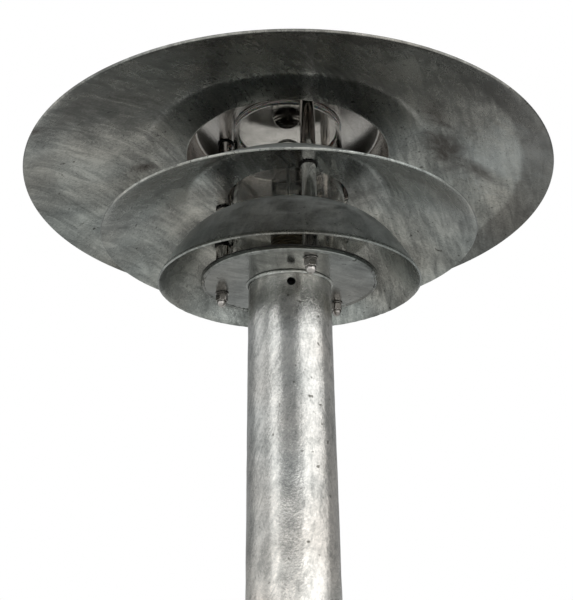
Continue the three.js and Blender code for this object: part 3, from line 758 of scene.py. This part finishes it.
# Faces turned up carry a matt pale patina of weathered zinc.
upward_face = add(sheet_tree, "ShaderNodeSeparateXYZ", {0: sheet_space.outputs["Normal"]})
face_share = add(sheet_tree, "ShaderNodeMapRange", {
    "Value": upward_face.outputs["Z"], "From Min": 0.35, "From Max": 0.8})
worn = add(sheet_tree, "ShaderNodeMath", {
    0: rings.outputs["Fac"], 1: 0.35, 2: sheet_wear}, operation="MULTIPLY_ADD")
wear_share = add(sheet_tree, "ShaderNodeMapRange", {
    "Value": worn.outputs[0], "From Min": 0.52, "From Max": 0.82, "To Min": 0.4})
patina = add(sheet_tree, "ShaderNodeMath", {
    0: face_share.outputs[0], 1: wear_share.outputs[0]}, operation="MULTIPLY").outputs[0]
sheet_tint(patina, "#c2c5c3")
patina_dull = add(sheet_tree, "ShaderNodeMix", {0: patina, 2: crown_gloss.outputs[0], 3: 0.6})
bare = add(sheet_tree, "ShaderNodeMath", {0: 1.0, 1: patina}, operation="SUBTRACT")
join(sheet_tree, sheet_shader, {"Roughness": patina_dull.outputs[0], "Metallic": bare.outputs[0]})

ZINC_RIM_PAINTED_HIGHLIGHT = hot_dip_zinc(
    "hot_dip_zinc_painted_rim_highlight", ("#b4b6b4", "#d2d4d2", "#e4e5e3", "#f2f2f0"), patch_mm=9,
    stroke_mm=(5, 5, 5), stroke_turn=(0, 0, 0), gloss=(0.25, 0.4), sparkle=0.08)
# Rough, near-white, mostly non-metallic zinc on the cut rims is a painted highlight along the edge, over the
# lumps of frozen zinc, so the rims look lit from any side.
ZINC_RIM_PAINTED_HIGHLIGHT.node_tree.nodes["Principled BSDF"].inputs["Metallic"].default_value = 0.2
SHEET = 1.5
RIM_ROUND = 0.55
SHADE_SIDES = 400
BEAD_LUMP = 0.35 * MM
BEAD_WIDTH = 2.0 * MM
BEAD_LUMPS_PER_METRE = (260, 90)


def sheet_outline(line, thickness):
    """Gives a line of (radius, height) the thickness of the sheet, above and outside it, and
    rounds its cut rim."""
    line = [Vector(point) for point in line]
    over = []
    for index, point in enumerate(line):
        into = (point - line[max(index - 1, 0)]).normalized()
        out = (line[min(index + 1, len(line) - 1)] - point).normalized()
        along = (into + out).normalized()
        side = Vector((along.y, -along.x))
        fit = along.dot(out if index == 0 else into) or 1.0
        over.append(point + side * thickness / max(fit, 0.5))
    rim_in, rim_out = line[0], over[0]
    run = (line[0] - line[1]).normalized()
    line[0] = rim_in - run * RIM_ROUND
    over[0] = rim_out - run * RIM_ROUND
    middle = (rim_in + rim_out) / 2
    edge = [line[0], rim_in * 0.8 + middle * 0.2 - run * 0.12, middle,
            rim_out * 0.8 + middle * 0.2 - run * 0.12]
    return line[1:] + over[:0:-1] + [over[0]] + edge[::-1]


def bent(points, reach, steps=8):
    """A line through corners (radius, height), with each inner corner bent over its reach and
    the straight stretches divided."""
    points = [Vector(point) for point in points]
    line = [points[0]]
    for index in range(1, len(points)):
        corner = points[index]
        last = index == len(points) - 1
        before = (line[-1] - corner).normalized()
        start = corner if last else corner + before * reach[index]
        gap = start - line[-1]
        pieces = max(1, round(gap.length / 6))
        line += [line[-1] + gap * part / pieces for part in range(1, pieces + 1)]
        if not last:
            end = corner + (points[index + 1] - corner).normalized() * reach[index]
            for step in range(1, steps + 1):
                t = step / steps
                line.append(start * (1 - t) ** 2 + corner * 2 * t * (1 - t) + end * t ** 2)
    return line


def shade(name, node, body, line, hole_level, bead=0.0):
    """A spun shade from its underside line, drilled for the rods. bead is how much zinc froze in lumps along
    its rim; where it is set, the rim faces also get the painted rim highlight."""
    rim = line[0][0] * MM

    def lumpy(point):
        radius = math.hypot(point.x, point.y)
        edge = max(0.0, 1 - abs(radius - rim - 0.4 * MM) / BEAD_WIDTH)
        fine, coarse = [noise.noise(point * scale) for scale in BEAD_LUMPS_PER_METRE]
        lump = fine + 0.6 * coarse
        return point + Vector((0, 0, 1)) * bead * edge * max(lump, -0.3) * BEAD_LUMP

    made = turned(name, sheet_outline(line, SHEET), SHADE_SIDES, base=flange_low.z, shape=lumpy)
    grown(made, RING_HOLES, ZINC_SHEET, Count=ROD_COUNT, Circle_Radius=ROD_CIRCLE, First_Angle=FIRST_ROD,
          Hole_Radius=ROD_HOLE, Level=flange_low.z + hole_level * MM, Depth=8 * MM)
    smooth(made.data, 50)
    made.data.materials.append(ZINC_RIM_PAINTED_HIGHLIGHT)
    # The rim faces of a shade with a bead get the painted rim highlight.
    for face in made.data.polygons:
        if bead and math.hypot(face.center.x, face.center.y) > rim - 0.15 * MM:
            face.material_index = 1
    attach(made, body)
    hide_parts(node)


LOWER_LEVEL, MIDDLE_LEVEL, BRIM_LEVEL, CROWN_LEVEL = 39, 71, 103, 131
bowl_rim, bowl_bend, bowl_end = Vector((93.5, -3.5)), Vector((75, 35.5)), Vector((60, LOWER_LEVEL))
lower_line = [
    bowl_rim * (1 - t) ** 2 + bowl_bend * 2 * t * (1 - t) + bowl_end * t ** 2
    for t in [step / 24 for step in range(25)]]
lower_line += [Vector((radius, LOWER_LEVEL)) for radius in (57, 52, 46)]
shade("lower_shade_bowl", "lower_shade", "post", lower_line, LOWER_LEVEL, bead=1.0)

middle_line = bent([(135, 27.5), (74.5, MIDDLE_LEVEL), (46, MIDDLE_LEVEL)], (0, 5, 0))
shade("middle_shade_cone", "middle_shade", "post", middle_line, MIDDLE_LEVEL, bead=0.3)

upper_line = bent([
    (188.5, 59.5), (171, 70.6), (107.5, BRIM_LEVEL), (78, BRIM_LEVEL), (74, CROWN_LEVEL), (0, CROWN_LEVEL)],
    (0, 3, 5, 2.5, 2.5, 0))
shade("upper_shade_hat", "upper_shade", "upper_shade", upper_line, CROWN_LEVEL)


# ---- Glass cylinder, its gasket and the reflector --------------------------------------------------
# A clear borosilicate cylinder with fire-polished ends stands on the flange's gasket, under a
# silicone ring. A flat disc of polished aluminium above it throws the light down.

# Drawn tube: clear, faintly grey, with a slight draw-line waviness.
GLASS, glass_tree, glass_shader = new_material("clear_borosilicate_glass")
glass_place = add(glass_tree, "ShaderNodeTexCoord").outputs["Object"]
glass_draw = add(glass_tree, "ShaderNodeMapping", {"Vector": glass_place, "Scale": (60.0, 60.0, 8.0)})
glass_wave = add(glass_tree, "ShaderNodeTexNoise", {
    "Vector": glass_draw.outputs[0], "Scale": 1.0, "Detail": 1.0})
glass_skin = add(glass_tree, "ShaderNodeBump", {
    "Height": glass_wave.outputs["Fac"], "Distance": 0.15 * MM, "Strength": 0.4})
join(glass_tree, glass_shader, {
    "Base Color": linear("#f2f1ee"), "Roughness": 0.02, "IOR": 1.47, "Transmission Weight": 1.0,
    "Normal": glass_skin.outputs[0]})

GLASS_WALL = 3
glass_radius, glass_height, glass_base = sizes("glass_cylinder")
glass = turned("glass_tube", rounded([
    (glass_radius - GLASS_WALL, 0, 0.8), (glass_radius, 0, 0.8),
    (glass_radius, glass_height, 0.8), (glass_radius - GLASS_WALL, glass_height, 0.8)]), 192,
    base=glass_base)
glass.data.materials.append(GLASS)
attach(glass, "upper_shade")
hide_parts("glass_cylinder")

# Extruded silicone ring: milky, lets light in a little way, with a waxy sheen.
SILICONE = speckled("milky_silicone", ("#b9b8b2", "#d6d5cf"), span=(0.3, 0.7), cloud=(300.0, 3.0),
                    roughness=0.4, **{"Subsurface Weight": 0.4, "Subsurface Scale": 0.001})
seal_radius, seal_thick, seal_base = sizes("glass_top_gasket")
seal_bore = glass_radius - GLASS_WALL
seal = turned("glass_seal_ring", rounded([
    (seal_bore, 0, 0.2), (seal_radius, 0, 0.2),
    (seal_radius, seal_thick, 0.2), (seal_bore, seal_thick, 0.2)]), 144, base=seal_base)
seal.data.materials.append(SILICONE)
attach(seal, "upper_shade")
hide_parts("glass_top_gasket")

MIRROR = bright_metal(
    "polished_spun_aluminium", ("#cfccca", "#e6e3e1"), gloss=(0.05, 0.1),
    grain_mm=(60, 60, 60), grain_depth=0.6)
disc_radius, disc_thick, disc_base = sizes("reflector_disc")
disc = turned("reflector_mirror", rounded([
    (0, 0, 0), (disc_radius, 0, 0.2), (disc_radius, disc_thick, 0.2), (0, disc_thick, 0)]),
    160, base=disc_base)
disc.data.materials.append(MIRROR)
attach(disc, "upper_shade")
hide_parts("reflector_disc")


# ---- Lamp holder on its bridge ------------------------------------------------------------------------
# A brown steatite holder for a small screw cap stands on a bent stainless bridge, which is
# screwed to the flange over the cable gland. Ribs are moulded round the holder's foot.

# Fired, unglazed ceramic: even brown body with fine speckle and a low sheen.
STEATITE = speckled("brown_steatite", ("#5f5340", "#7d6f57"), span=(0.3, 0.7), cloud=(900.0, 4.0),
                    roughness=0.42, grain=(0.04, 0.4))
HOLDER_BORE = 8.2
HOLDER_FLOOR = 9
RIB_LEVELS = (3, 6, 9, 12)
RIB_DEPTH = 0.9
holder_radius, holder_height, holder_base = sizes("lamp_holder")
ribs = [(holder_radius - depth, level + rise, 0.3) for level in RIB_LEVELS for depth, rise in (
    (0, 0), (RIB_DEPTH, 0.5), (RIB_DEPTH, 1.5), (0, 2.0))]
holder = turned("lamp_holder_body", rounded(
    [(0, 0, 0), (holder_radius, 0, 0.8)] + ribs + [
        (holder_radius, holder_height, 1.2), (HOLDER_BORE, holder_height, 0.5),
        (HOLDER_BORE, HOLDER_FLOOR, 0.5), (0, HOLDER_FLOOR, 0)]), 96, base=holder_base)
holder.data.materials.append(STEATITE)
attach(holder, "post")
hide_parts("lamp_holder")

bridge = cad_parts["holder_bridge"]
bridge.data.materials.clear()
bridge.data.materials.append(POLISHED_STEEL)

SLOT_SIZE = (7 * MM, 0.9 * MM, 1.6 * MM, 1)
SHANK_RADIUS = 1.5
HEAD_THICK = 2
for number in (1, 2):
    low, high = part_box(f"bridge_screw_{number}")
    head_radius = (high.x - low.x) / 2 / MM
    head_height = (high.z - low.z) / MM
    shank_top = head_height - HEAD_THICK
    middle = (low.x + high.x) / 2
    shank = [Vector((0, 0)), Vector((SHANK_RADIUS, 0)), Vector((SHANK_RADIUS, shank_top))]
    head = rounded([(head_radius, shank_top, 0.15), (head_radius, head_height - 0.5, 0.5),
                    (0, head_height, 0)])
    screw = turned(f"bridge_screw_{number}_head", shank + head, 48, base=low.z, centre=(middle, 0))
    slot_cube = bmesh.new()
    bmesh.ops.create_cube(slot_cube, size=1, matrix=Matrix.Translation(
        (middle, 0, high.z)) @ Matrix.Diagonal(SLOT_SIZE))
    slot_mesh = bpy.data.meshes.new("slot_cutter")
    slot_cube.to_mesh(slot_mesh)
    slot_cube.free()
    slot_tool = bpy.data.objects.new("slot_cutter", slot_mesh)
    bpy.context.scene.collection.objects.link(slot_tool)
    cut_out(screw, slot_tool)
    screw.data.materials.append(POLISHED_STEEL)
    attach(screw, "post")
    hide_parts(f"bridge_screw_{number}")


# ---- Lamp ------------------------------------------------------------------------------------------
# A slim tubular lamp on a nickelled screw cap with a rolled thread: a thin clear envelope
# round a glass stem and a coiled filament. It screws into the holder.

NICKEL = bright_metal(
    "nickelled_brass", ("#b3a88d", "#d2c8b0"), gloss=(0.18, 0.3),
    grain_mm=(2, 2, 0.6), grain_depth=0.02)
CAP_PITCH = 2.82
CAP_CORE = 1.3
CAP_TURNS = 4.5
cap_radius, cap_height, cap_base = sizes("lamp_cap")
cap = turned("lamp_screw_cap", rounded([
    (0, 0, 0), (2.5, 0, 0.6), (3.2, 1.2, 0.3), (cap_radius - CAP_CORE, 3.2, 0.5),
    (cap_radius - CAP_CORE, cap_height - 5, 0.5), (cap_radius, cap_height - 4.4, 0.5),
    (cap_radius, cap_height, 0.4), (0, cap_height, 0)]), 64, base=cap_base)
grown(cap, THREAD, NICKEL, Turns=CAP_TURNS, Pitch=CAP_PITCH * MM,
      Radius=(cap_radius - CAP_CORE - 0.05) * MM, Start=cap_base + 4.6 * MM)
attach(cap, "lamp")
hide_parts("lamp_cap")

ENVELOPE_WALL = 0.8
envelope_radius, envelope_height, envelope_base = sizes("lamp_envelope")


def envelope_line(inset):
    """The envelope's outline from neck to tip, set in by its wall."""
    radius = envelope_radius - inset
    top = envelope_height - inset
    line = [(cap_radius - inset, inset), (cap_radius + 2 - inset, 1.5 + inset), (radius - 1.2, 4.5 + inset),
            (radius, 7.5 + inset), (radius, (top - radius) * 0.5), (radius, top - radius)]
    return line + [(radius * math.cos(a), top - radius * (1 - math.sin(a)))
                   for a in [math.pi / 2 * step / 12 for step in range(1, 13)]]


outside, inside = envelope_line(0), envelope_line(ENVELOPE_WALL)
outside[-1], inside[-1] = (0, outside[-1][1]), (0, inside[-1][1])
envelope = turned("lamp_bulb_glass", [(0, 0)] + outside + inside[::-1] + [(0, ENVELOPE_WALL)], 96,
                  base=envelope_base)
envelope.data.materials.append(GLASS)
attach(envelope, "lamp")
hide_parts("lamp_envelope")

TUNGSTEN = bright_metal(
    "tungsten_wire", ("#6f6c68", "#8b8883"), gloss=(0.3, 0.4), grain_mm=(1, 1, 1), grain_depth=0.01)
COIL_TURNS = 30.0
COIL_LENGTH = 20
COIL_LEVEL = 24
SUPPORT_RADIUS = 0.2
SUPPORT_FOOT, SUPPORT_TOP = -22, 21


def coiled_filament():
    """Winds a fine coil of wire round its straight support."""
    tree, given = new_tree("coiled_filament", Wire=0.00015, Coil_Radius=0.0006, Turns=30.0, Length=0.02)
    coil = add(tree, "GeometryNodeCurveSpiral", {
        "Resolution": 12, "Rotations": given["Turns"], "Start Radius": given["Coil Radius"],
        "End Radius": given["Coil Radius"], "Height": given["Length"]})
    section = add(tree, "GeometryNodeCurvePrimitiveCircle", {"Resolution": 6, "Radius": given["Wire"]})
    wound = add(tree, "GeometryNodeCurveToMesh", {
        "Curve": coil.outputs[0], "Profile Curve": section.outputs[0], "Fill Caps": True})
    both = add(tree, "GeometryNodeJoinGeometry", {"Geometry": given["Geometry"]})
    tree.links.new(wound.outputs[0], both.inputs[0])
    return end_tree(tree, given, both.outputs[0])


filament = turned("lamp_filament", rounded([
    (0, SUPPORT_FOOT, 0), (SUPPORT_RADIUS, SUPPORT_FOOT, 0.1),
    (SUPPORT_RADIUS, SUPPORT_TOP, 0.1), (0, SUPPORT_TOP, 0)]), 12)
grown(filament, coiled_filament(), TUNGSTEN, Turns=COIL_TURNS, Length=COIL_LENGTH * MM)
filament.data.transform(Matrix.Translation((0, 0, envelope_base + COIL_LEVEL * MM)))
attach(filament, "lamp")
stem = turned("lamp_glass_stem", rounded([
    (0, 1, 0), (4, 1, 0.5), (2.4, 6, 1), (1.2, 10, 1), (1.2, 12, 0.5), (0, 13, 0)]), 32,
    base=envelope_base)
stem.data.materials.append(GLASS)
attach(stem, "lamp")


# ---- Cable gland, terminal block and wires ------------------------------------------------------------
# Moulded nylon gland in the flange's bore, a terminal block in front of the bridge, and two
# sheathed wires from it up to the holder.

def moulded(name, tones, roughness, grain_mm):
    """Moulded plastic: an even colour that varies a little, with a fine spark-eroded grain."""
    made, tree, shader = new_material(name)
    place = add(tree, "ShaderNodeTexCoord").outputs["Object"]
    cloud = add(tree, "ShaderNodeTexNoise", {"Vector": place, "Scale": 60.0, "Detail": 3.0})
    grain = add(tree, "ShaderNodeTexNoise", {"Vector": place, "Scale": 1000 / grain_mm, "Detail": 2.0})
    skin = add(tree, "ShaderNodeBump", {
        "Height": grain.outputs["Fac"], "Distance": 0.03 * MM, "Strength": 0.5})
    colour = add(tree, "ShaderNodeValToRGB", {"Fac": cloud.outputs["Fac"]}, stops=[
        *zip((0.3, 0.7), tones)])
    join(tree, shader, {
        "Base Color": colour.outputs["Color"], "Roughness": roughness, "Normal": skin.outputs[0]})
    return made


plastics = {
    "cable_gland": moulded("grey_nylon", ("#3c3f40", "#505456"), 0.55, 0.5),
    "terminal_block": moulded("white_nylon", ("#cfccc2", "#e6e3da"), 0.5, 0.5),
    "live_wire": moulded("brown_pvc_sheath", ("#4a2d18", "#643f25"), 0.4, 0.4),
    "neutral_wire": moulded("blue_pvc_sheath", ("#214f8c", "#2f69b0"), 0.4, 0.4),
}
for node, plastic in plastics.items():
    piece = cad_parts[node]
    piece.data.materials.clear()
    piece.data.materials.append(plastic)


# ---- Setting ---------------------------------------------------------------------------------------------
# A plain pale floor and soft light: a wide soft box to the right of the camera, a narrow one to
# the left, a weak one far left and a low one in front. The camera looks up from under the head.

FLOOR, floor_tree, floor_shader = new_material("pale_floor")
join(floor_tree, floor_shader, {"Base Color": linear("#e4e4e2"), "Roughness": 0.85})
HALF_FLOOR = 8.0
floor_mesh = bpy.data.meshes.new("floor")
floor_mesh.from_pydata([(x * HALF_FLOOR, y * HALF_FLOOR, 0) for x, y in (
    (-1, -1), (1, -1), (1, 1), (-1, 1))], [], [(0, 1, 2, 3)])
floor = bpy.data.objects.new("floor", floor_mesh)
floor_mesh.materials.append(FLOOR)
bpy.context.scene.collection.objects.link(floor)
floor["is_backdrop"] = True

world = bpy.data.worlds.new("studio")
world.use_nodes = True
world.node_tree.nodes.clear()
bpy.context.scene.world = world
# The room is dim round the post and bright overhead, so the floor is well lit.
room_tree = world.node_tree
gaze = add(room_tree, "ShaderNodeTexCoord").outputs["Generated"]
upward = add(room_tree, "ShaderNodeSeparateXYZ", {0: gaze}).outputs["Z"]
glow = add(room_tree, "ShaderNodeMapRange", {
    "Value": upward, "From Min": 0.35, "From Max": 0.9, "To Min": 0.38, "To Max": 1.08})
room = add(room_tree, "ShaderNodeBackground", {
    "Color": linear("#f2f4f5"), "Strength": glow.outputs[0]})
paper = add(room_tree, "ShaderNodeBackground", {"Color": (1, 1, 1, 1), "Strength": 1.0})
sight = add(room_tree, "ShaderNodeLightPath").outputs["Is Camera Ray"]
seen = add(room_tree, "ShaderNodeMixShader", {0: sight, 1: room.outputs[0], 2: paper.outputs[0]})
add(room_tree, "ShaderNodeOutputWorld", {"Surface": seen.outputs[0]})


def soft_box(name, azimuth, distance, height, size, brightness):
    """A rectangular soft box that faces the post; azimuth counts from the camera's side, to the
    right. Its twin shines the other way, so that the floor behind it isn't left dark."""
    light = bpy.data.lights.new(name, "AREA")
    light.shape = "RECTANGLE"
    light.size, light.size_y = size
    light.energy = brightness * math.pi * size[0] * size[1]
    angle = math.radians(azimuth)
    spot = Vector((math.sin(angle) * distance, -math.cos(angle) * distance, height))
    aim = Vector((0, 0, flange_low.z)) - spot
    for side in (1, -1):
        box = bpy.data.objects.new(name, light)
        box.location = spot
        box.rotation_euler = (aim * side).to_track_quat("-Z", "Y").to_euler()
        box.visible_camera = False
        bpy.context.scene.collection.objects.link(box)


soft_box("right_soft_box", 55, 2.0, 1.2, (2.4, 2.6), 1.25)
soft_box("left_soft_box", -44, 2.0, 1.2, (0.9, 2.6), 1.1)
soft_box("left_fill", -88, 2.2, 1.2, (1.6, 2.4), 0.5)
soft_box("low_front_fill", 4, 2.2, 0.42, (2.6, 0.6), 1.1)

CAMERA_AWAY = 0.4381
CAMERA_SIDE = -0.0023
CAMERA_BELOW = 0.1713
CAMERA_PITCH = math.radians(20.12)
CAMERA_ROLL = math.radians(0.69)
CAMERA_LENS = 38.6
camera_data = bpy.data.cameras.new("camera")
camera_data.sensor_width = 36
camera_data.lens = CAMERA_LENS
camera_data.clip_start = 0.01
camera = bpy.data.objects.new("camera", camera_data)
camera.matrix_world = (
    Matrix.Translation((CAMERA_SIDE, -CAMERA_AWAY, flange_low.z - CAMERA_BELOW))
    @ Matrix.Rotation(math.pi / 2 + CAMERA_PITCH, 4, "X") @ Matrix.Rotation(-CAMERA_ROLL, 4, "Z"))
bpy.context.scene.collection.objects.link(camera)
bpy.context.scene.camera = camera

view_settings = bpy.context.scene.view_settings
view_settings.view_transform = "Standard"

low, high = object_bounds()
